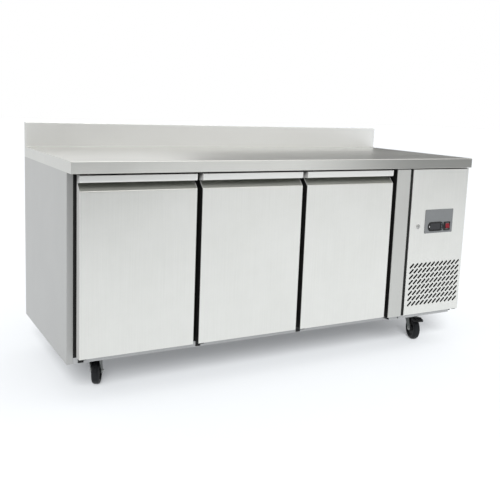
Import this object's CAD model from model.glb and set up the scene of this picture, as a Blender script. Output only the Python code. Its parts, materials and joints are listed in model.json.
# %% [markdown]
# Counter refrigerator: a stainless worktop cabinet with three hinged doors and a condensing unit
# on the right. On the real thing almost every outside surface is folded sheet steel about 1 mm
# thick, so the look comes from small bend radii, narrow black gaps and a soft satin finish.
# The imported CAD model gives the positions. Everything below is built in its frame, in metres.

# %% Open the CAD frame and set up the small helpers
import json
import math
import bmesh
import bpy
from mathutils import Matrix, Vector


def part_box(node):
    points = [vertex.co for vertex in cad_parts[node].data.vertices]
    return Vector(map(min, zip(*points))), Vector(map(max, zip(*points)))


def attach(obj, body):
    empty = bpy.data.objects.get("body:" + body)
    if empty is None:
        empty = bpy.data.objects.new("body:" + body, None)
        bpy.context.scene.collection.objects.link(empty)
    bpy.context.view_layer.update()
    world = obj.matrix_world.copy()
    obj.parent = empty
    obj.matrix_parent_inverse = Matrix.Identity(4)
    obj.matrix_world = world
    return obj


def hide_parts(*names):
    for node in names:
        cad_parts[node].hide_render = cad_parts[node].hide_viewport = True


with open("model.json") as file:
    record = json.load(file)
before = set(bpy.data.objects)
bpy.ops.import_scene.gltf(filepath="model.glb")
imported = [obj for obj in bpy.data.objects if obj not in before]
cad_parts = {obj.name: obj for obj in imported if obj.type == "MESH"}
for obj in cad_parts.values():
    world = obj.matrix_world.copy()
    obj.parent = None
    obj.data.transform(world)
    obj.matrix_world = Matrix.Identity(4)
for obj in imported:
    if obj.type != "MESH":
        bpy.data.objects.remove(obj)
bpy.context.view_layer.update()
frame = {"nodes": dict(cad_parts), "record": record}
joints = {j["name"]: j for j in frame["record"]["behaviour"]["joints"]}

MM = 0.001
SHEET = 1.2 * MM  # thickness of the folded stainless sheet


def srgb(text):
    """A hex colour turned into linear light, with alpha 1."""
    parts = [int(text[i:i + 2], 16) / 255 for i in (1, 3, 5)]
    return tuple(p / 12.92 if p <= 0.04045 else ((p + 0.055) / 1.055) ** 2.4 for p in parts) + (1,)


def add(tree, kind, inputs=None, **settings):
    """Adds one shader node. A pair (node, output name) as an input value makes a link."""
    made = tree.nodes.new(kind)
    for key, value in settings.items():
        setattr(made, key, value)
    for key, value in (inputs or {}).items():
        if isinstance(value, tuple) and len(value) == 2 and hasattr(value[0], "outputs"):
            tree.links.new(value[0].outputs[value[1]], made.inputs[key])
        else:
            made.inputs[key].default_value = value
    return made


# %% [markdown]
# One recipe covers most of the surfaces. A fine pattern, stretched along the direction in which the
# surface was brushed, rolled or moulded, drives the roughness and a shallow bump. A second and much
# larger pattern stands for handling marks: it shifts the colour and the gloss a little.

# %% Recipe for a procedural surface
def surface(name, dark, light, metallic, rough, grain_mm=(1, 1, 1), bump_mm=0.01, marks_mm=180,
            marks=0.5, ior=None, coat=0.0, fade=None):
    """dark and light are hex colours, rough is (smoothest, roughest), grain_mm is the size of one
    grain along X, Y and Z. fade is (from x, to x, hex colour): a slow change along the length."""
    material = bpy.data.materials.new(name)
    material.use_nodes = True
    tree = material.node_tree
    tree.nodes.clear()
    out = add(tree, "ShaderNodeOutputMaterial")
    place = add(tree, "ShaderNodeTexCoord")
    fine_map = add(tree, "ShaderNodeMapping",
                   {"Vector": (place, "Object"), "Scale": [1 / (g * MM) for g in grain_mm]})
    fine = add(tree, "ShaderNodeTexNoise",
               {"Vector": (fine_map, "Vector"), "Scale": 1.0, "Detail": 3.0, "Roughness": 0.6})
    broad_map = add(tree, "ShaderNodeMapping",
                    {"Vector": (place, "Object"), "Scale": [1 / (marks_mm * MM)] * 3})
    broad = add(tree, "ShaderNodeTexNoise",
                {"Vector": (broad_map, "Vector"), "Scale": 1.0, "Detail": 5.0, "Roughness": 0.65})
    both = add(tree, "ShaderNodeMix", {"Factor": marks, "A": (fine, "Fac"), "B": (broad, "Fac")},
               data_type="FLOAT")
    gloss = add(tree, "ShaderNodeMapRange",
                {"Value": (both, "Result"), "From Min": 0.3, "From Max": 0.7,
                 "To Min": rough[0], "To Max": rough[1]})
    tone = add(tree, "ShaderNodeValToRGB", {"Fac": (both, "Result")})
    tone.color_ramp.elements[0].position = 0.3
    tone.color_ramp.elements[0].color = srgb(dark)
    tone.color_ramp.elements[1].position = 0.7
    tone.color_ramp.elements[1].color = srgb(light)
    if fade:
        split = add(tree, "ShaderNodeSeparateXYZ", {"Vector": (place, "Object")})
        part = add(tree, "ShaderNodeMapRange",
                   {"Value": (split, "X"), "From Min": fade[0], "From Max": fade[1]},
                   interpolation_type="SMOOTHSTEP")
        tone = add(tree, "ShaderNodeMixRGB",
                   {"Fac": (part, "Result"), "Color1": (tone, "Color"), "Color2": srgb(fade[2])})
    relief = add(tree, "ShaderNodeBump",
                 {"Height": (fine, "Fac"), "Strength": 0.35, "Distance": bump_mm * MM})
    shader = add(tree, "ShaderNodeBsdfPrincipled",
                 {"Base Color": (tone, "Color"), "Metallic": metallic,
                  "Roughness": (gloss, "Result"), "Normal": (relief, "Normal")})
    if ior:
        shader.inputs["IOR"].default_value = ior
    if coat:
        shader.inputs["Coat Weight"].default_value = coat
        shader.inputs["Coat Roughness"].default_value = 0.1
    tree.links.new(shader.outputs["BSDF"], out.inputs["Surface"])
    return material


# %% [markdown]
# Satin stainless steel (grade 304, ground with a 240 grit belt). The belt leaves parallel lines a
# few hundredths of a millimetre wide. From a metre away the eye doesn't see them one by one, only
# the long soft reflections across them. The doors are ground upright, the worktop along its length.
# Real belt lines are too fine to show from a few metres, so on the doors, the sides and the edges
# they are drawn about 4 mm wide. The worktop and the upstand keep a finer, softer grain. The edge
# finish darkens slowly to the right, where the room around the counter is darker.

# %% Metals
UPRIGHT_LINES, LONG_LINES, FINE_LONG_LINES = (4, 4, 300), (300, 4, 4), (60, 0.5, 0.5)  # in mm
steel_upright = surface("satin_stainless_upright", "#dfdfda", "#ebebe7", 1.0, (0.34, 0.44),
                        UPRIGHT_LINES, 0.006, 260, 0.64)
steel_along = surface("satin_stainless_along", "#d2d2ce", "#e0e0dc", 1.0, (0.32, 0.42),
                      FINE_LONG_LINES, 0.006, 300, 0.45)
steel_edge = surface("satin_stainless_edge", "#d9d9d4", "#e6e6e1", 1.0, (0.36, 0.46),
                     LONG_LINES, 0.006, 300, 0.64, fade=(-0.1, 0.62, "#a2a29e"))
steel_recess = surface("satin_stainless_recess", "#9b9c96", "#a6a7a1", 1.0, (0.45, 0.55),
                       LONG_LINES, 0.006, 260, 0.64)
steel_upstand = surface("satin_stainless_upstand", "#f9f9f6", "#fdfdfb", 1.0, (0.5, 0.6),
                        FINE_LONG_LINES, 0.006, 300, 0.45)
steel_trim = surface("satin_stainless_trim", "#c6c6c2", "#d2d2ce", 1.0, (0.38, 0.48),
                     UPRIGHT_LINES, 0.006, 260, 0.64)
steel_strip = surface("satin_stainless_grip_strip", "#e6e6e2", "#f0f0ed", 1.0, (0.34, 0.44),
                      LONG_LINES, 0.006, 260, 0.64)
end_cap = surface("light_grey_end_cap", "#929290", "#9c9c9b", 0.0, (0.4, 0.5),
                  (0.5, 0.5, 0.5), 0.01, 60, 0.4, 1.5)
base_steel = surface("galvanised_base_sheet", "#a5a6a6", "#b6b7b7", 0.85, (0.42, 0.55),
                     (9, 9, 9), 0.01, 60, 0.4)
nickel = surface("nickel_plated_lock", "#a6a6a3", "#c4c4c1", 1.0, (0.12, 0.22),
                 (1, 1, 1), 0.004, 12, 0.5)
steel_side = surface("satin_stainless_side", "#b1b1af", "#bebebc", 1.0, (0.38, 0.48),
                     UPRIGHT_LINES, 0.006, 260, 0.64)
galvanised = surface("galvanised_steel", "#9a9d9f", "#b9bcbd", 0.85, (0.38, 0.55),
                     (9, 9, 9), 0.01, 60, 0.4)
zinc = surface("zinc_plated_steel", "#6d706f", "#8d908e", 0.9, (0.3, 0.48), (3, 3, 3), 0.01, 30, 0.5)
bright_zinc = surface("bright_zinc_bolt", "#a9aaa8", "#c6c7c5", 1.0, (0.2, 0.34),
                      (1, 1, 1), 0.005, 12, 0.5)
chrome = surface("bright_chrome_plate", "#c9cacb", "#dcdcdd", 1.0, (0.08, 0.16),
                 (2, 2, 2), 0.002, 20, 0.5)
fins = surface("rolled_aluminium_fins", "#b9bbbd", "#d0d1d3", 1.0, (0.3, 0.42),
               (1, 20, 1), 0.006, 60, 0.5)
copper = surface("drawn_copper_tube", "#a3603f", "#c98361", 1.0, (0.25, 0.42),
                 (2, 2, 2), 0.006, 40, 0.6)
print("metals made")

# %% [markdown]
# Plastics, rubber, paint, foam and board. Moulded plastic copies the fine spark-eroded texture of
# its mould, so its highlights are broken up but not sharp. Rubber is duller, with a dusty bloom.

# %% Plastics, rubber, paint and board
black_paint = surface("black_powder_coat", "#080808", "#0f0f0e", 0.0, (0.5, 0.62),
                      (0.6, 0.6, 0.6), 0.02, 90, 0.4, 1.38)
enamel = surface("black_stove_enamel", "#0e0e10", "#1a1a1d", 0.0, (0.28, 0.42),
                 (1.5, 1.5, 1.5), 0.02, 60, 0.5, 1.5)
rubber = surface("black_nitrile_rubber", "#080808", "#10100f", 0.0, (0.62, 0.8),
                 (0.8, 0.8, 0.8), 0.02, 40, 0.5, 1.38)
tyre = surface("black_wheel_rubber", "#08090b", "#101214", 0.0, (0.42, 0.6),
               (1.2, 1.2, 1.2), 0.03, 25, 0.5, 1.33)
hub_plastic = surface("dark_polyamide_hub", "#0a0b0c", "#131416", 0.0, (0.4, 0.52),
                      (0.8, 0.8, 0.8), 0.02, 30, 0.5, 1.33)
black_plastic = surface("black_abs", "#050506", "#0b0c0d", 0.0, (0.4, 0.52),
                        (0.4, 0.4, 0.4), 0.015, 30, 0.4, 1.4)
display = surface("smoked_display_window", "#0a0b0d", "#101216", 0.0, (0.06, 0.12),
                  (6, 6, 6), 0.001, 20, 0.5, 1.5)
grey_plate = surface("grey_painted_aluminium", "#4e5051", "#585a5b", 0.0, (0.42, 0.52),
                     (0.5, 0.5, 0.5), 0.01, 60, 0.4, 1.5)
keys_grey = surface("grey_polycarbonate_keys", "#34373a", "#42464a", 0.0, (0.35, 0.5),
                    (0.4, 0.4, 0.4), 0.01, 10, 0.4, 1.5)
mark_white = surface("white_printed_mark", "#b8bbbd", "#d2d4d5", 0.0, (0.4, 0.5),
                     (0.5, 0.5, 0.5), 0.004, 10, 0.4, 1.5)
red = surface("red_polycarbonate", "#4a0b12", "#6c1a23", 0.0, (0.2, 0.3),
              (2, 2, 2), 0.006, 12, 0.4, 1.5, 0.3)
liner_white = surface("white_abs_liner", "#dadad6", "#e8e8e5", 0.0, (0.3, 0.42),
                      (0.8, 0.8, 0.8), 0.015, 220, 0.4, 1.5)
foam = surface("polyurethane_foam", "#c9b873", "#ddcf92", 0.0, (0.8, 0.95),
               (1.5, 1.5, 1.5), 0.3, 80, 0.4, 1.45)
board = surface("chipboard", "#a88758", "#c7a878", 0.0, (0.7, 0.85),
                (4, 4, 1), 0.15, 120, 0.3, 1.45)
filter_foam = surface("open_cell_filter_foam", "#020202", "#060606", 0.0, (0.9, 1.0),
                      (1.6, 1.6, 1.6), 0.6, 40, 0.3, 1.1)
print("plastics and paints made")

# %% [markdown]
# The CAD pieces that already have the right shape keep it and get the finish of their slot. These
# are the inner parts (liner, posts, condensing unit, fans, trays, brackets) and the base rail.

# %% Finishes of the CAD pieces
FINISH = {"stainless": steel_upright, "galvanised": galvanised, "black_frame": black_paint,
          "board": board, "foam": foam, "white_liner": liner_white, "chromed_wire": chrome,
          "black_rubber": rubber, "black_plastic": black_plastic, "grey_plate": grey_plate,
          "grey_keys": keys_grey, "red_plastic": red, "aluminium_fins": fins,
          "black_enamel": enamel, "copper": copper, "zinc": zinc, "chrome_lock": chrome,
          "tyre_rubber": tyre}
slots = {s["node"]: s["material_slot"] for s in frame["record"]["subparts"]}
for name, obj in frame["nodes"].items():
    obj.data.materials.clear()
    obj.data.materials.append(base_steel if name == "base_panel" else FINISH[slots[name]])
print("CAD pieces with a finish:", len(frame["nodes"]))


# %% [markdown]
# Shape helpers. Folded sheet and moulded parts have no sharp edges, so outlines are rounded corner
# by corner and then carried along an axis, and loose blocks get a rounded bevel.

# %% Shape helpers
def rounded(points, steps=5):
    """Outline with corners (a, b, radius) turned into short arcs."""
    out = []
    for i, (x, y, r) in enumerate(points):
        here = Vector((x, y))
        if not r:
            out.append(tuple(here))
            continue
        to_last = (Vector(points[i - 1][:2]) - here).normalized()
        to_next = (Vector(points[(i + 1) % len(points)][:2]) - here).normalized()
        half = to_last.angle(to_next) / 2
        middle = here + (to_last + to_next).normalized() * (r / math.sin(half))
        a = here + to_last * (r / math.tan(half)) - middle
        b = here + to_next * (r / math.tan(half)) - middle
        sweep = a.angle_signed(b)
        for k in range(steps + 1):
            out.append(tuple(middle + Matrix.Rotation(-sweep * k / steps, 2) @ a))
    return out


def rectangle(x0, z0, x1, z1, r):
    """A rectangle with rounded corners."""
    return rounded([(x0, z0, r), (x1, z0, r), (x1, z1, r), (x0, z1, r)])


def carry(bm, outline, start, end, axis, bevel=0.0, index=0):
    """Carries an outline from start to end along X (outline in Y, Z), Y (in X, Z) or Z (in X, Y)."""
    def at(p, d):
        return {"X": (d, p[0], p[1]), "Y": (p[0], d, p[1]), "Z": (p[0], p[1], d)}[axis]
    ends = [[bm.verts.new(at(p, d)) for p in outline] for d in (start, end)]
    n = len(outline)
    faces = [bm.faces.new(ends[0]), bm.faces.new(ends[1])]
    rims = [e for f in faces for e in f.edges]
    faces += [bm.faces.new((ends[0][i], ends[0][(i + 1) % n], ends[1][(i + 1) % n], ends[1][i]))
              for i in range(n)]
    for f in faces:
        f.material_index = index
    if bevel:
        bmesh.ops.bevel(bm, geom=rims, offset=bevel, segments=2, profile=0.5,
                        affect="EDGES", clamp_overlap=True, material=-1)


def block(bm, lo, hi, r=0.0, index=0, steps=2):
    """A block between two corners with rounded edges."""
    made = bmesh.ops.create_cube(bm, size=1)["verts"]
    lo, hi = Vector(lo), Vector(hi)
    for v in made:
        v.co = Vector((lo[i] + (v.co[i] + 0.5) * (hi[i] - lo[i]) for i in range(3)))
    faces = {f for v in made for f in v.link_faces}
    for f in faces:
        f.material_index = index
    if r:
        edges = {e for v in made for e in v.link_edges}
        bmesh.ops.bevel(bm, geom=list(edges), offset=r, segments=steps, profile=0.5,
                        affect="EDGES", clamp_overlap=True, material=-1)


def rod(bm, a, b, r, sides=16, index=0, bevel=0.0):
    """A round bar from a to b."""
    a, b = Vector(a), Vector(b)
    turn = (b - a).to_track_quat("Z", "Y").to_matrix().to_4x4()
    made = bmesh.ops.create_cone(bm, cap_ends=True, segments=sides, radius1=r, radius2=r,
                                 depth=(b - a).length,
                                 matrix=Matrix.Translation((a + b) / 2) @ turn)["verts"]
    faces = {f for v in made for f in v.link_faces}
    for f in faces:
        f.material_index = index
    if bevel:
        rims = {e for f in faces if len(f.verts) > 4 for e in f.edges}
        bmesh.ops.bevel(bm, geom=list(rims), offset=bevel, segments=2, profile=0.5,
                        affect="EDGES", clamp_overlap=True, material=-1)


def spin(bm, profile, centre, axis, steps=48, index=0):
    """Turns a profile of (radius, height) points all the way round an axis."""
    axis = Vector(axis).normalized()
    side = axis.orthogonal().normalized()
    verts = [bm.verts.new(Vector(centre) + side * r + axis * h) for r, h in profile]
    edges = [bm.edges.new(pair) for pair in zip(verts, verts[1:])]
    before = set(bm.faces)
    bmesh.ops.spin(bm, geom=verts + edges, cent=centre, axis=axis, angle=2 * math.pi, steps=steps,
                   use_merge=True, use_duplicate=False)
    made = [f for f in bm.faces if f not in before]
    near = {v for f in made for v in f.verts}
    bmesh.ops.remove_doubles(bm, verts=list(near), dist=1e-6)
    for f in bm.faces:
        if f not in before:
            f.material_index = index


def closed_edges(bm, points):
    """A closed ring of edges through points."""
    verts = [bm.verts.new(p) for p in points]
    return [bm.edges.new(pair) for pair in zip(verts, verts[1:] + verts[:1])]


def ring(bm, outline, y):
    """A closed ring of edges at depth y, from an outline in X and Z."""
    return closed_edges(bm, [(x, y, z) for x, z in outline])


def join_rings(bm, rings):
    """Faces between each ring and the next one."""
    for first, second in zip(rings, rings[1:]):
        bmesh.ops.bridge_loops(bm, edges=first + second)


def cap(bm, rim, index=0):
    """One flat face across a ring."""
    bmesh.ops.edgeloop_fill(bm, edges=rim, mat_nr=index)


def place_mesh(name, bm, finishes):
    """Turns a finished bmesh into an object in the scene."""
    mesh = bpy.data.meshes.new(name)
    bm.to_mesh(mesh)
    bm.free()
    for finish in finishes:
        mesh.materials.append(finish)
    obj = bpy.data.objects.new(name, mesh)
    bpy.context.scene.collection.objects.link(obj)
    return obj


def piece(name, bm, finishes, body, replaced=(), sharp=35):
    """Turns the built mesh into a finished piece that rides on a CAD body."""
    bmesh.ops.remove_doubles(bm, verts=bm.verts, dist=1e-7)
    bmesh.ops.recalc_face_normals(bm, faces=bm.faces)
    for f in bm.faces:
        f.smooth = True
    for e in bm.edges:
        e.smooth = len(e.link_faces) == 2 and e.calc_face_angle(0) < math.radians(sharp)
    obj = place_mesh(name, bm, finishes)
    flat = obj.modifiers.new("flat faces stay flat", "WEIGHTED_NORMAL")
    flat.keep_sharp = True
    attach(obj, body)
    if replaced:
        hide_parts(*replaced)
    print(name, "faces", len(obj.data.polygons))
    return obj


# %% [markdown]
# Worktop. On the real counter it is one sheet: the front edge is folded down, the back edge is
# folded up into a hollow upstand, and the ends are closed and ground smooth. One outline carried
# along the length gives its bend radii: 4 mm at the front edge, 2 mm in the corner of the upstand
# and 3 mm on top of it.

# %% Worktop with upstand
lo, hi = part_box("worktop")
work_z = [m["pos_m"][2] for m in frame["record"]["mounts"] if m["name"] == "worktop_face"][0]
upstand = 20 * MM
FRONT_EDGE, UPSTAND_FACE, ENDS = 1, 2, 3
bm = bmesh.new()
carry(bm, rounded([(lo.y, lo.z, 0.0015), (lo.y, work_z, 0.004), (hi.y - upstand, work_z, 0.002),
                   (hi.y - upstand, hi.z, 0.003), (hi.y, hi.z, 0.003), (hi.y, lo.z, 0.001)]),
      lo.x, hi.x, "X", 0.0012)
bm.normal_update()
for f in bm.faces:
    c = f.calc_center_median()
    if abs(f.normal.y) > 0.9 and c.y < lo.y + 0.001 and c.z < work_z:
        f.material_index = FRONT_EDGE
    elif abs(f.normal.x) > 0.9:
        f.material_index = ENDS
    elif c.z > work_z + 0.002 and c.y < hi.y - 0.001:
        f.material_index = UPSTAND_FACE
piece("worktop_sheet", bm, [steel_along, steel_edge, steel_upstand, steel_trim], "cabinet",
      ["worktop"])

# %% [markdown]
# Side panels. Each is a folded sheet with a lip round the front and the back. On the left the front
# lip shows as a narrow strip beside the black gap of the first door. The right panel also has a
# bottom flange.

# %% Side panels
def folded_side(bm, lo, hi, outside, lips, inward):
    """A side sheet carried upright. outside and lips are X places, inward is +1 or -1."""
    inside = outside + inward * SHEET
    carry(bm, rounded([(outside, hi.y, 0.001), (outside, lo.y, 0.0018), (lips, lo.y, 0),
                       (lips, lo.y + SHEET, 0), (inside, lo.y + SHEET, 0.0006),
                       (inside, hi.y - SHEET, 0), (lips, hi.y - SHEET, 0), (lips, hi.y, 0)]),
          lo.z, hi.z, "Z", 0.0003)


lo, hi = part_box("left_side_panel")
bm = bmesh.new()
folded_side(bm, lo, hi, lo.x, hi.x, 1)
piece("left_side_sheet", bm, [steel_side], "cabinet", ["left_side_panel"])

lo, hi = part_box("right_side_panel")
bm = bmesh.new()
folded_side(bm, lo, hi, hi.x, lo.x, -1)
block(bm, (lo.x, lo.y, lo.z), (hi.x - SHEET, hi.y - 12 * MM, lo.z + SHEET), 0.0003)
piece("right_side_sheet", bm, [steel_side], "cabinet", ["right_side_panel"])

# %% [markdown]
# Doors. The front sheet runs up to a slanted finger recess and rolls back out as a grip strip. The
# lip below the recess is bent round a tool of about 6 mm, so it catches a thin bright line, and the
# lower edge of the strip is rolled back so that fingers can pull on it. The ends of the door are
# closed by grey end caps. The foam core follows the same outline, one sheet further in.

# %% Doors
STRIP, RECESS = 26.5 * MM, 29 * MM
FINGER_RECESS, END_CAPS, GRIP_STRIP = 1, 2, 3
FOAM_GAP = 1.5 * MM


def door_outline(n, inward=0.0):
    """Outline of a door in Y and Z, drawn in for the foam behind the sheet."""
    lo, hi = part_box(f"door_{n}_skin")
    strip_z, y, back = hi.z - STRIP + inward, lo.y + inward, hi.y - 2 * MM
    slope = inward * math.sqrt(2)
    corner = [(lo.y + RECESS + inward, strip_z - slope, 0)] if inward else []
    return rounded([(back, lo.z + inward, 0.0008), (y, lo.z + inward, 0.0025),
                    (y, strip_z - RECESS - slope, 0.006), *corner,
                    (lo.y + RECESS + inward, strip_z, 0), (y, strip_z, 0.0065),
                    (y, hi.z - inward, 0.0025), (back, hi.z - inward, 0.0008)])


def door(n):
    """The front sheet of a door and the foam core behind it."""
    lo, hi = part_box(f"door_{n}_skin")
    strip_z = hi.z - STRIP
    bm = bmesh.new()
    carry(bm, door_outline(n), lo.x, hi.x, "X", 0.0015)
    for f in bm.faces:
        c = f.calc_center_median()
        between_ends = lo.x + 0.002 < c.x < hi.x - 0.002
        in_recess = (strip_z - RECESS + 0.004 < c.z < strip_z + 0.0002
                     and lo.y + 0.0035 < c.y < lo.y + 0.031)
        if in_recess and between_ends:
            f.material_index = FINGER_RECESS
        elif c.z > strip_z and between_ends:
            f.material_index = GRIP_STRIP
        elif not lo.x + 0.0014 < c.x < hi.x - 0.0014:
            f.material_index = END_CAPS
    piece(f"door_{n}_sheet", bm, [steel_upright, steel_recess, end_cap, steel_strip],
          f"door_{n}", [f"door_{n}_skin"])
    bm = bmesh.new()
    carry(bm, door_outline(n, FOAM_GAP), lo.x + FOAM_GAP, hi.x - FOAM_GAP, "X")
    piece(f"door_{n}_foam", bm, [foam], f"door_{n}", [f"door_{n}_core"])


for number in (1, 2, 3):
    door(number)

# %% [markdown]
# Black edge profiles. The gaps between the doors look solid black because the hinge side of the
# second and third door carries a soft black edge profile. It ends under the grip strip.

# %% Black profiles on the hinge sides
for n in (2, 3):
    lo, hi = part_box(f"door_{n}_skin")
    strip_z = hi.z - STRIP
    bm = bmesh.new()
    carry(bm, [(lo.y + 0.002, lo.z + 0.001), (lo.y + 0.002, strip_z - RECESS - 0.002),
               (lo.y + RECESS, strip_z - 0.002), (hi.y - 0.001, strip_z - 0.002),
               (hi.y - 0.001, lo.z + 0.001)], lo.x - 0.0012, lo.x + 0.0002, "X", 0.0003)
    piece(f"door_{n}_edge_profile", bm, [rubber], f"door_{n}")

# %% [markdown]
# Inner faces of the doors. They are vacuum-formed from white ABS with a raised field inside the
# gasket. The gasket is a soft extruded profile with a bellows, pushed into a groove and mitred at
# the corners.

# %% Door inner faces and gaskets
for n in (1, 2, 3):
    lo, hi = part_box(f"door_{n}_liner")
    edge = 39 * MM  # the flat margin that carries the gasket
    bm = bmesh.new()
    block(bm, (lo.x, lo.y, lo.z), (hi.x, lo.y + 2 * MM, hi.z), 0.0008)
    x0, x1, z0, z1 = lo.x + edge, hi.x - edge, lo.z + edge, hi.z - edge
    rings = []
    for inset, y in ((0, lo.y + 0.0018), (0.0004, lo.y + 0.004), (0.0016, lo.y + 0.0062),
                     (0.004, hi.y), (0.014, hi.y), (0.0165, hi.y - 0.0015), (0.02, hi.y - 0.002)):
        field = rectangle(x0 + inset, z0 + inset, x1 - inset, z1 - inset, 0.018 - inset * 0.5)
        rings.append(ring(bm, field, y))
    join_rings(bm, rings)
    cap(bm, rings[0])
    cap(bm, rings[-1])
    piece(f"door_{n}_inner_face", bm, [liner_white], f"door_{n}", [f"door_{n}_liner"])
    lo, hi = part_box(f"door_{n}_gasket")
    profile = rounded([(0, 0, 0.0005), (0.014, 0, 0.0005), (0.0135, 0.0025, 0.0008),
                       (0.0115, 0.0035, 0.0005), (0.014, 0.0055, 0.0008),
                       (0.0138, hi.y - lo.y, 0.001), (0.0004, hi.y - lo.y, 0.001),
                       (0, 0.0055, 0.0008), (0.0025, 0.0035, 0.0005),
                       (0.0005, 0.0025, 0.0008)], 2)
    bm = bmesh.new()
    mitres = []
    for right_side, top in ((False, False), (True, False), (True, True), (False, True)):
        mitres.append(closed_edges(bm, [
            (hi.x - inward if right_side else lo.x + inward, lo.y + deep,
             hi.z - inward if top else lo.z + inward) for inward, deep in profile]))
    join_rings(bm, mitres + mitres[:1])
    piece(f"door_{n}_magnetic_gasket", bm, [rubber], f"door_{n}", [f"door_{n}_gasket"])

# %% [markdown]
# Pillar cover. A channel folded from one sheet, clipped over the end of the insulated partition.

# %% Pillar cover
lo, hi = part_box("pillar_cover")
bm = bmesh.new()
carry(bm, rounded([(lo.x, hi.y, 0), (lo.x, lo.y, 0.0022), (hi.x, lo.y, 0.0022), (hi.x, hi.y, 0),
                   (hi.x - SHEET, hi.y, 0), (hi.x - SHEET, lo.y + SHEET, 0.001),
                   (lo.x + SHEET, lo.y + SHEET, 0.001), (lo.x + SHEET, hi.y, 0)]),
      lo.z, hi.z - SHEET, "Z", 0.0003)
block(bm, (lo.x + 0.001, lo.y + 0.001, hi.z - SHEET), (hi.x - 0.001, hi.y, hi.z), 0.0004)
piece("pillar_channel", bm, [steel_trim], "cabinet", ["pillar_cover"])

# %% [markdown]
# Service panel. The air slots are punched on a turret press with an oblong tool, so each has round
# ends, and the edges of the panel are folded back all round. The slots are laid out from the size
# of the tool and the pitch, row by row. Behind them hangs a pad of filter foam.

# %% Service panel with punched air slots
lo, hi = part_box("service_panel")
fold_radius, fold_steps = 2.5 * MM, 4
columns, rows, end_steps = 12, 8, 6
first_x, first_z, pitch = lo.x + 27.5 * MM, 214 * MM, 24.2 * MM
slot_long, slot_wide, slant = 30 * MM, 8.8 * MM, math.radians(41)
bm = bmesh.new()
rim_rings = []
for k in range(fold_steps + 1):
    a = math.radians(90 * k / fold_steps)
    inset = fold_radius * (1 - math.sin(a))
    corners = [(lo.x + inset, lo.z + inset), (hi.x - inset, lo.z + inset),
               (hi.x - inset, hi.z - inset), (lo.x + inset, hi.z - inset)]
    rim_rings.append(ring(bm, corners, lo.y + fold_radius * (1 - math.cos(a))))
rim_rings.append(ring(bm, corners, hi.y))
join_rings(bm, rim_rings)
border = list(rim_rings[0])
slot_outline = []
for end in (1, -1):
    reach = end * (slot_long - slot_wide) / 2
    for k in range(end_steps + 1):
        a = slant - end * math.pi / 2 + math.pi * k / end_steps
        slot_outline.append((reach * math.cos(slant) + slot_wide / 2 * math.cos(a),
                             reach * math.sin(slant) + slot_wide / 2 * math.sin(a)))
for i in range(columns):
    for j in range(rows):
        border += ring(bm, [(first_x + i * pitch + x, first_z + j * pitch + z)
                            for x, z in slot_outline], lo.y)
bmesh.ops.triangle_fill(bm, edges=border, use_beauty=True, use_dissolve=False)
panel = piece("service_panel_sheet", bm, [steel_upright], "panel", ["service_panel"])
thick = panel.modifiers.new("sheet thickness", "SOLIDIFY")
thick.thickness = SHEET
thick.offset = -1
panel.modifiers.move(1, 0)  # the thickness first, then the flat faces

margin = 16 * MM
bm = bmesh.new()
block(bm, (first_x - margin, lo.y + 0.004, first_z - margin),
      (first_x + (columns - 1) * pitch + margin, lo.y + 0.009, first_z + (rows - 1) * pitch + margin),
      0.001)
piece("air_filter", bm, [filter_foam], "panel")

# %% [markdown]
# Controls. A grey painted plate carries a black electronic thermostat with three keys and a red
# rocker switch. The thermostat's frame has large corner radii because it snaps into a cut-out from
# the front. Its display sits a little lower, behind a smoked window.

# %% Control plate
lo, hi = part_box("control_plate")
bm = bmesh.new()
carry(bm, rectangle(lo.x, lo.z, hi.x, hi.z, 0.002), lo.y, hi.y, "Y", 0.0003)
piece("control_plate_sheet", bm, [grey_plate], "panel", ["control_plate"])

plate_y = lo.y

# %% Thermostat
DISPLAY, MARK = 1, 2
lo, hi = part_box("thermostat")
bm = bmesh.new()
outer = rectangle(lo.x, lo.z, hi.x, hi.z, 0.017)
window = rectangle(lo.x + 0.012, lo.z + 0.006, hi.x - 0.018, hi.z - 0.006, 0.003)
bevel = 1.2 * MM
raised = rectangle(lo.x + bevel, lo.z + bevel, hi.x - bevel, hi.z - bevel, 0.0158)
rings = [ring(bm, outer, plate_y), ring(bm, outer, lo.y + bevel), ring(bm, raised, lo.y),
         ring(bm, window, lo.y), ring(bm, window, lo.y + 0.001)]
wells = []
for key in ("set", "up", "down"):
    k_lo, k_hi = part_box("key_" + key)
    centre = (k_lo + k_hi) / 2
    reach = (k_hi.x - k_lo.x) / 2 + 0.0003
    turns = [math.radians(15 * k) for k in range(24)]
    circle = [(centre.x + reach * math.cos(a), centre.z + reach * math.sin(a)) for a in turns]
    wells.append([ring(bm, circle, lo.y), ring(bm, circle, lo.y + 0.003)])
for pair in [rings[0:2], rings[1:3], rings[3:5]] + wells:
    join_rings(bm, pair)
cap(bm, rings[0])
cap(bm, rings[-1], DISPLAY)
for rim, floor_rim in wells:
    cap(bm, floor_rim)
border = rings[2] + rings[3] + [e for rim, floor_rim in wells for e in rim]
bmesh.ops.triangle_fill(bm, edges=border, use_beauty=True, use_dissolve=False)
block(bm, (lo.x + 0.004, plate_y, lo.z + 0.004), (hi.x - 0.004, hi.y, hi.z - 0.004), 0.001)
middle_z = (lo.z + hi.z) / 2
carry(bm, rectangle(lo.x + 0.0055, middle_z - 0.004, lo.x + 0.007, middle_z + 0.004, 0.0006),
      lo.y - 0.0001, lo.y + 0.0003, "Y", 0, MARK)
piece("thermostat_body", bm, [black_plastic, display, mark_white], "panel", ["thermostat"])

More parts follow.
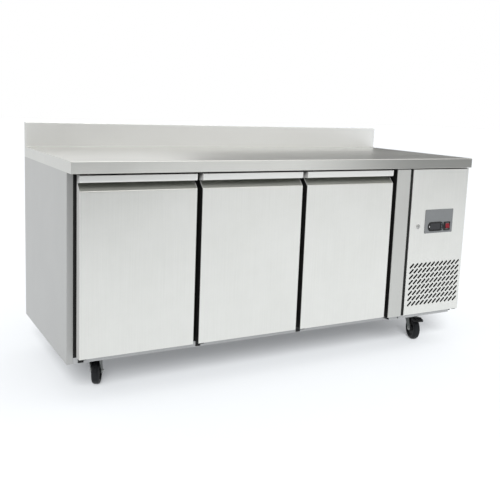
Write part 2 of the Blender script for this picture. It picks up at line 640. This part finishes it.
# %% Keys of the thermostat
for key in ("set", "up", "down"):
    lo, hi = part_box("key_" + key)
    centre = (lo + hi) / 2
    r = (hi.x - lo.x) / 2
    deep = hi.y - lo.y
    bm = bmesh.new()
    spin(bm, [(0, deep), (r, deep), (r, 0.0005), (r * 0.85, 0.0001), (r * 0.5, 0.0003), (0, 0.0004)],
         (centre.x, lo.y, centre.z), (0, 1, 0), 24)
    piece("button_" + key, bm, [keys_grey], "key_" + key, ["key_" + key])

# %% Switch
lo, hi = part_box("switch_bezel")
r_lo, r_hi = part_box("rocker_switch")
bm = bmesh.new()
gap = 0.4 * MM
bevel = 1 * MM
outer = rectangle(lo.x, lo.z, hi.x, hi.z, 0.002)
raised = rectangle(lo.x + bevel, lo.z + bevel, hi.x - bevel, hi.z - bevel, 0.002)
well = rectangle(r_lo.x - gap, r_lo.z - gap, r_hi.x + gap, r_hi.z + gap, 0.0005)
neck = rectangle(lo.x + 0.004, lo.z + 0.002, hi.x - 0.004, hi.z - 0.002, 0.001)
rings = [ring(bm, neck, hi.y), ring(bm, neck, plate_y), ring(bm, outer, plate_y),
         ring(bm, outer, lo.y + bevel), ring(bm, raised, lo.y), ring(bm, well, lo.y),
         ring(bm, well, hi.y - 0.002)]
join_rings(bm, rings)
cap(bm, rings[0])
cap(bm, rings[-1])
piece("switch_frame", bm, [black_plastic], "panel", ["switch_bezel"])

pivot = Vector(joints["rocker_tilt"]["pos_m"])
reach = (r_hi.z - r_lo.z) / 2
bm = bmesh.new()
outline = []
for k in range(17):
    a = math.radians(-90 + 180 * k / 16)
    outline.append((pivot.y + reach * math.cos(a), pivot.z + reach * math.sin(a)))
outline += [(pivot.y - 0.0105, pivot.z + reach * 0.7), (pivot.y - 0.013, pivot.z),
            (r_lo.y, pivot.z - reach * 0.55), (pivot.y - 0.009, pivot.z - reach * 0.8)]
carry(bm, outline, r_lo.x, r_hi.x, "X", 0.0006)
piece("rocker_cap", bm, [red], "rocker", ["rocker_switch"])

# %% [markdown]
# Panel lock. A nickel-plated cylinder lock with a domed ring and a key slot. Its flat cam hangs
# behind the panel and turns with the key.

# %% Panel lock
lo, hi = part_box("panel_lock")
pivot = Vector(joints["lock_turn"]["pos_m"])
bm = bmesh.new()
spin(bm, [(0, 0.0008), (0.0055, 0.0008), (0.006, 0.0002), (0.0078, 0), (0.0095, 0.0008),
          (0.0105, 0.0022), (0.0105, 0.003), (0.009, 0.003), (0.009, hi.y - lo.y - 0.003),
          (0, hi.y - lo.y - 0.003)], (pivot.x, lo.y, pivot.z), (0, 1, 0), 40)
block(bm, (pivot.x - 0.0008, lo.y + 0.0004, pivot.z - 0.004),
      (pivot.x + 0.0008, lo.y + 0.0011, pivot.z + 0.004), 0.0002, 1)
carry(bm, rounded([(pivot.x - 0.007, lo.z, 0.005), (pivot.x + 0.007, lo.z, 0.005),
                   (pivot.x + 0.007, pivot.z + 0.007, 0.005),
                   (pivot.x - 0.007, pivot.z + 0.007, 0.005)]), hi.y - 0.003, hi.y, "Y", 0.0004)
piece("lock_cylinder", bm, [nickel, black_plastic], "lock", ["panel_lock"])

# %% [markdown]
# Screws. Pan-head screws with a black cross hold the channel under the service panel and the rear
# sheet.

# %% Screws
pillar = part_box("pillar_cover")[0]
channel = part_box("base_panel")[0]
rear_lo, rear_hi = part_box("back_panel")
left_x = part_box("left_side_panel")[0].x
panel_lo, panel_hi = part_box("service_panel")
front, rear = -1, 1
cross_thin, cross_long = 0.5 * MM, 2.2 * MM
places = [((pillar.x + 0.070, channel.y, channel.z + 0.0105), front)]
places += [((x, rear_hi.y, z), rear) for x in (left_x + 0.06, -0.2, 0.25)
           for z in (rear_lo.z + 0.049, rear_hi.z - 0.05)]
places += [((x, rear_hi.y, pillar.z + 0.04), rear) for x in (panel_lo.x + 0.06, panel_hi.x - 0.07)]
bm = bmesh.new()
for (x, y, z), way in places:
    spin(bm, [(0, 0.0022), (0.0015, 0.0022), (0.003, 0.0017), (0.004, 0.0006), (0.004, 0)],
         (x, y, z), (0, way, 0), 20)
    y0, y1 = sorted((y + way * 0.0016, y + way * 0.0023))
    for wide, tall in ((cross_thin, cross_long), (cross_long, cross_thin)):
        block(bm, (x - wide, y0, z - tall), (x + wide, y1, z + tall), 0, 1)
piece("pan_head_screws", bm, [zinc, black_plastic], "cabinet", ["cover_screws"])

# %% [markdown]
# Castors. Pressed zinc-plated forks on a ball race, moulded wheels with a grippy black tyre, an
# axle bolt with nuts, and a foot brake on the two front ones. Each is built pointing along
# its own axis and then turned to the heading that its wheel axis has in the CAD model.

# %% Castors
FRONT_CASTORS = (1, 2)
CROWN_TOP = 0.125
PLATE_IN, PLATE_OUT = 0.018, 0.021  # the two faces of a fork plate, from its middle
PEDAL_Y, PEDAL_Z = -0.018, 0.1055  # where the brake pedal turns
WHEEL_HALF, TREAD_ROUND = 0.015, 0.010


def heading(i):
    """Trail, axle height and the turn from the castor's own axes to the CAD frame."""
    swivel = Vector(joints[f"castor_{i}_swivel"]["pos_m"])
    axle = Vector(joints[f"wheel_{i}_roll"]["pos_m"])
    across = Vector(joints[f"wheel_{i}_roll"]["axis"]).normalized()
    ahead = Vector((0, 0, 1)).cross(across)
    turn = Matrix((across, ahead, (0, 0, 1))).transposed().to_4x4()
    turn.translation = (swivel.x, swivel.y, 0)
    return (axle - swivel).to_2d().length, axle.z, turn


def fork(i):
    """Two pressed plates, the round crown, the axle bolt and, in front, the brake's pivot."""
    trail, axle_z, turn = heading(i)
    braked = i in FRONT_CASTORS
    bm = bmesh.new()
    for s in (-1, 1):
        x0, x1 = sorted((s * PLATE_IN, s * PLATE_OUT))
        carry(bm, rounded([(-0.026, CROWN_TOP - 0.003, 0), (-0.0262, CROWN_TOP - 0.024, 0.02),
                           (-trail - 0.012, axle_z + 0.006, 0.012),
                           (-trail - 0.0095, axle_z - 0.0105, 0.009),
                           (-trail + 0.0095, axle_z - 0.0105, 0.009),
                           (-trail + 0.016, axle_z + 0.006, 0.014),
                           (0.021, CROWN_TOP - 0.024, 0.02), (0.024, CROWN_TOP - 0.003, 0)]),
              x0, x1, "X", 0.0008)
        spin(bm, [(0.0, 0.0055), (0.0032, 0.0055), (0.0052, 0.0042), (0.0052, 0)],
             (s * PLATE_OUT, -trail, axle_z), (s, 0, 0), 6, 1)
        spin(bm, [(0.0, 0.0012), (0.0085, 0.0012), (0.009, 0.0006), (0.009, 0)],
             (s * PLATE_OUT, -trail, axle_z), (s, 0, 0), 28, 1)
        if braked:
            spin(bm, [(0.0, 0.0018), (0.003, 0.0018), (0.0042, 0.001), (0.0045, 0)],
                 (s * PLATE_OUT, PEDAL_Y, PEDAL_Z), (s, 0, 0), 20, 1)
    rod(bm, (-PLATE_OUT, -trail, axle_z), (PLATE_OUT, -trail, axle_z), 0.005, 24, 1)
    if braked:
        rod(bm, (-PLATE_OUT, PEDAL_Y, PEDAL_Z), (PLATE_OUT, PEDAL_Y, PEDAL_Z), 0.003, 20, 1)
    spin(bm, [(0.0061, CROWN_TOP - 0.010), (0.026, CROWN_TOP - 0.010), (0.0286, CROWN_TOP - 0.0075),
              (0.029, CROWN_TOP - 0.004), (0.0285, CROWN_TOP - 0.0012), (0.027, CROWN_TOP),
              (0.0061, CROWN_TOP), (0.0061, CROWN_TOP - 0.010)], (0, 0, 0), (0, 0, 1), 48)
    for v in bm.verts:
        if v.co.z > CROWN_TOP - 0.0115:
            v.co.x = max(-PLATE_OUT, min(PLATE_OUT, v.co.x))
    bmesh.ops.transform(bm, matrix=turn, verts=bm.verts)
    piece(f"castor_{i}_fork", bm, [zinc, bright_zinc], f"castor_{i}", [f"castor_fork_{i}"])


def wheel(i):
    """A tyre with a rounded tread on a dished hub."""
    trail, axle_z, turn = heading(i)
    half = WHEEL_HALF
    bm = bmesh.new()
    shoulder = [(axle_z - TREAD_ROUND + TREAD_ROUND * math.sin(math.radians(a)),
                 half - TREAD_ROUND + TREAD_ROUND * math.cos(math.radians(a)))
                for a in range(0, 91, 10)]
    tread = [(0.0385, half - 0.001), (0.0392, half)] + shoulder
    tread += [(r, -h) for r, h in reversed(tread)]
    spin(bm, tread, (0, -trail, axle_z), (1, 0, 0), 72)
    hub = [(0.00505, half + 0.002), (0.0095, half + 0.002), (0.0105, half + 0.001),
           (0.0112, half - 0.003), (0.013, half - 0.0065), (0.030, half - 0.0065),
           (0.0335, half - 0.005), (0.0345, half - 0.0012), (0.0375, half - 0.0008),
           (0.0385, half - 0.001)]
    hub += [(r, -h) for r, h in reversed(hub)]
    hub.append(hub[0])
    spin(bm, hub, (0, -trail, axle_z), (1, 0, 0), 72, 1)
    bmesh.ops.transform(bm, matrix=turn, verts=bm.verts)
    piece(f"castor_{i}_wheel", bm, [tyre, hub_plastic], f"wheel_{i}", [f"castor_wheel_{i}"])


def brake(i):
    """A zinc-plated pedal arm with a ribbed black tip."""
    turn = heading(i)[2]
    y, z = PEDAL_Y, PEDAL_Z
    tip_start, tip_slope = 0.040, 0.161
    bm = bmesh.new()
    rod(bm, (-0.017, y, z), (0.017, y, z), 0.0055, 24, 0, 0.0008)
    carry(bm, rounded([(y, z + 0.0035, 0), (y - 0.034, z + 0.0035, 0.01),
                       (y - 0.062, z - 0.0005, 0.006), (y - 0.062, z - 0.0025, 0),
                       (y - 0.034, z + 0.0010, 0.01), (y, z + 0.0010, 0)]),
          -0.0165, 0.0165, "X", 0.0008, 1)
    carry(bm, rounded([(y - tip_start, z + 0.0031, 0.001), (y - 0.0685, z - 0.0015, 0.004),
                       (y - 0.0705, z - 0.0095, 0.002), (y - 0.0665, z - 0.0125, 0.002),
                       (y - tip_start, z - 0.0042, 0.001)]), -0.022, 0.022, "X", 0.0012)
    for k in range(4):
        d = 0.046 + 0.006 * k
        top = z + 0.0031 - (d - tip_start) * tip_slope
        block(bm, (-0.015, y - d - 0.001, top - 0.001), (0.015, y - d + 0.001, top + 0.0006),
              0.0004)
    bmesh.ops.transform(bm, matrix=turn, verts=bm.verts)
    piece(f"brake_{i}_pedal", bm, [black_plastic, bright_zinc], f"brake_{i}",
          [f"brake_pedal_{i}"])


for number in (1, 2, 3, 4):
    fork(number)
    wheel(number)
    if number in FRONT_CASTORS:
        brake(number)

# %% [markdown]
# Shelves. Chromed wire shelves: thin wires are resistance-welded on top of three thicker cross
# bars and two side bars.

# %% Wire shelves
lo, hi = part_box("shelves")
s_lo, s_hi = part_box("door_1_skin")
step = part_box("door_2_skin")[0].x - s_lo.x
half, thick_r, thin_r, wire_gap = 0.1625, 0.0025, 0.0015, 0.023
bar_z, wire_z = lo.z + thick_r, hi.z - thin_r
bm = bmesh.new()
for n in range(3):
    mid = (s_lo.x + s_hi.x) / 2 + n * step
    for s in (-1, 1):
        x = mid + s * (half - 0.0035)
        rod(bm, (x, lo.y, bar_z), (x, hi.y, bar_z), thick_r, 14, 0, 0.0006)
    for y in (lo.y + thick_r, (lo.y + hi.y) / 2, hi.y - thick_r):
        rod(bm, (mid - half + 0.001, y, bar_z), (mid + half - 0.001, y, bar_z), thick_r, 14, 0,
            0.0006)
    for k in range(-6, 7):
        x = mid + k * wire_gap
        rod(bm, (x, lo.y, wire_z), (x, hi.y, wire_z), thin_r, 12)
piece("wire_shelves", bm, [chrome], "cabinet", ["shelves"])

# %% [markdown]
# Partition. On the real counter the machine compartment is lined with galvanised sheet, so that no
# foam shows when the service panel is open.

# %% Partition sheet beside the machine compartment
lo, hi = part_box("insulation")
bm = bmesh.new()
block(bm, (hi.x + 0.0001, lo.y + 0.004, lo.z + 0.001), (hi.x + 0.0008, hi.y - 0.001, hi.z - 0.001),
      0.0002)
piece("partition_sheet", bm, [galvanised], "cabinet")

# %% [markdown]
# Compressor. A hermetic shell is two deep-drawn steel cups welded together. The weld leaves a
# flange round the middle, and the relay and terminals sit under a plastic box in front. Four feet
# reach out at the corners.

# %% Compressor
lo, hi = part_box("compressor")
drive = Vector(((lo.x + hi.x) / 2, 0.15, lo.z))
tall = hi.z - lo.z
bm = bmesh.new()
spin(bm, [(0, 0.004), (0.05, 0.004), (0.066, 0.012), (0.074, 0.028), (0.076, 0.05), (0.076, 0.086),
          (0.0785, 0.087), (0.0785, 0.091), (0.076, 0.092), (0.075, tall - 0.055),
          (0.068, tall - 0.028), (0.054, tall - 0.009), (0.04, tall - 0.001), (0, tall)],
     drive, (0, 0, 1), 64)
for degrees in (45, 135, 225, 315):
    a = math.radians(degrees)
    before = set(bm.verts)
    carry(bm, rectangle(0.055, -0.016, 0.108, 0.016, 0.006), 0, 0.004, "Z", 0.0008)
    move = Matrix.Translation(drive) @ Matrix.Rotation(a, 4, "Z")
    bmesh.ops.transform(bm, matrix=move, verts=[v for v in bm.verts if v not in before])
block(bm, (drive.x - 0.032, lo.y, drive.z + 0.03),
      (drive.x + 0.032, drive.y - 0.066, drive.z + 0.092), 0.004, 1, 3)
piece("compressor_shell", bm, [enamel, black_plastic], "cabinet", ["compressor"])

# %% [markdown]
# Stage. A pale floor that runs far back, and soft light from large panels, as in a product studio.
# Polished metal has no tone of its own and shows what stands around it, so three grey cards outside
# the picture darken what the steel reflects. The distant softbox is left out of reflections: it
# lights the floor and the painted parts, and lays a soft shadow behind the counter.

# %% Floor
floor_finish = bpy.data.materials.new("pale_studio_floor")
floor_finish.use_nodes = True
tree = floor_finish.node_tree
tree.nodes.clear()
where = add(tree, "ShaderNodeTexCoord")
grain = add(tree, "ShaderNodeTexNoise", {"Vector": (where, "Object"), "Scale": 3.0, "Detail": 3.0})
tone = add(tree, "ShaderNodeMapRange", {"Value": (grain, "Fac"), "To Min": 0.85, "To Max": 0.95})
paint = add(tree, "ShaderNodeBsdfPrincipled",
            {"Base Color": (0.425, 0.435, 0.445, 1), "Roughness": (tone, "Result"),
             "Emission Color": (0.95, 0.97, 1.0, 1), "Emission Strength": 0.17,
             "Specular IOR Level": 0.0})
add(tree, "ShaderNodeOutputMaterial", {"Surface": (paint, "BSDF")})
bm = bmesh.new()
bmesh.ops.create_grid(bm, x_segments=2, y_segments=2, size=30)
place_mesh("floor", bm, [floor_finish])
print("floor laid")

# %% Daylight from all round, one light panel, a distant softbox and grey cards
world = bpy.data.worlds.new("studio")
bpy.context.scene.world = world
world.use_nodes = True
world.node_tree.nodes["Background"].inputs["Color"].default_value = (1, 1, 1, 1)
world.node_tree.nodes["Background"].inputs["Strength"].default_value = 1.0


def light(name, place, target, size, power):
    """A rectangular light panel turned towards a point."""
    data = bpy.data.lights.new(name, "AREA")
    data.shape = "RECTANGLE"
    data.size, data.size_y = size
    data.energy = power
    obj = bpy.data.objects.new(name, data)
    obj.location = place
    aim = Vector(target) - Vector(place)
    obj.rotation_mode = "QUATERNION"
    obj.rotation_quaternion = aim.to_track_quat("-Z", "Y")
    bpy.context.scene.collection.objects.link(obj)


def flag(name, place, size, turn, shade):
    """A grey card outside the picture: it only darkens what the steel reflects."""
    grey = bpy.data.materials.new(name)
    grey.use_nodes = True
    shader = grey.node_tree.nodes["Principled BSDF"]
    shader.inputs["Base Color"].default_value = (shade, shade, shade, 1)
    shader.inputs["Roughness"].default_value = 0.9
    bm = bmesh.new()
    bmesh.ops.create_grid(bm, x_segments=1, y_segments=1, size=0.5)
    obj = place_mesh(name, bm, [grey])
    obj.location = place
    obj.scale = (size[0], size[1], 1)
    obj.rotation_euler = (math.radians(90), 0, math.radians(turn))
    obj.visible_camera = False
    obj.visible_shadow = False
    obj.visible_diffuse = False


light("overhead_panel", (0.4, -1.0, 3.6), (0.2, 0, 0.5), (3.0, 2.0), 18)
sky = bpy.data.lights.new("distant_softbox", "SUN")
sky.energy = 5.8
sky.angle = math.radians(24)
sky_light = bpy.data.objects.new("distant_softbox", sky)
sky_light.rotation_mode = "QUATERNION"
sky_light.rotation_quaternion = Vector((0.40, 0.74, -0.54)).to_track_quat("-Z", "Y")
sky_light.visible_glossy = False
bpy.context.scene.collection.objects.link(sky_light)
flag("front_flag", (-1.1, -5.2, 2.0), (5.2, 3.6), 0, 0.05)
flag("side_flag", (6.2, -4.2, 2.1), (3.6, 3.4), 40, 0.12)
flag("rear_flag", (3.0, 2.2, 1.85), (4.4, 2.2), -45, 0.02)
print("lights and cards placed")

# %% [markdown]
# Camera. It stands in front and to the left of the counter, about three metres away and a little
# above the height of the worktop, and looks slightly down. A normal lens gives the perspective, and
# a small shift places the counter in the picture. Its axes are written as three unit vectors.

# %% Camera
camera_data = bpy.data.cameras.new("camera")
camera = bpy.data.objects.new("camera", camera_data)
bpy.context.scene.collection.objects.link(camera)
camera_data.sensor_width = 36
camera_data.lens = 50.85
camera_data.shift_x = 0.0384
camera_data.shift_y = -0.0802
right = Vector((0.88264, -0.46876, 0.034916))
down = Vector((-0.039849, -0.148631, -0.98809))
forward = Vector((0.468365, 0.870732, -0.149867))
look = Matrix((right, -down, -forward)).transposed().to_4x4()
look.translation = (-1.517, -2.603, 1.056)
camera.matrix_world = look
bpy.context.scene.camera = camera
bpy.context.scene.view_settings.view_transform = "Standard"
print("camera lens in mm:", round(camera_data.lens, 2))
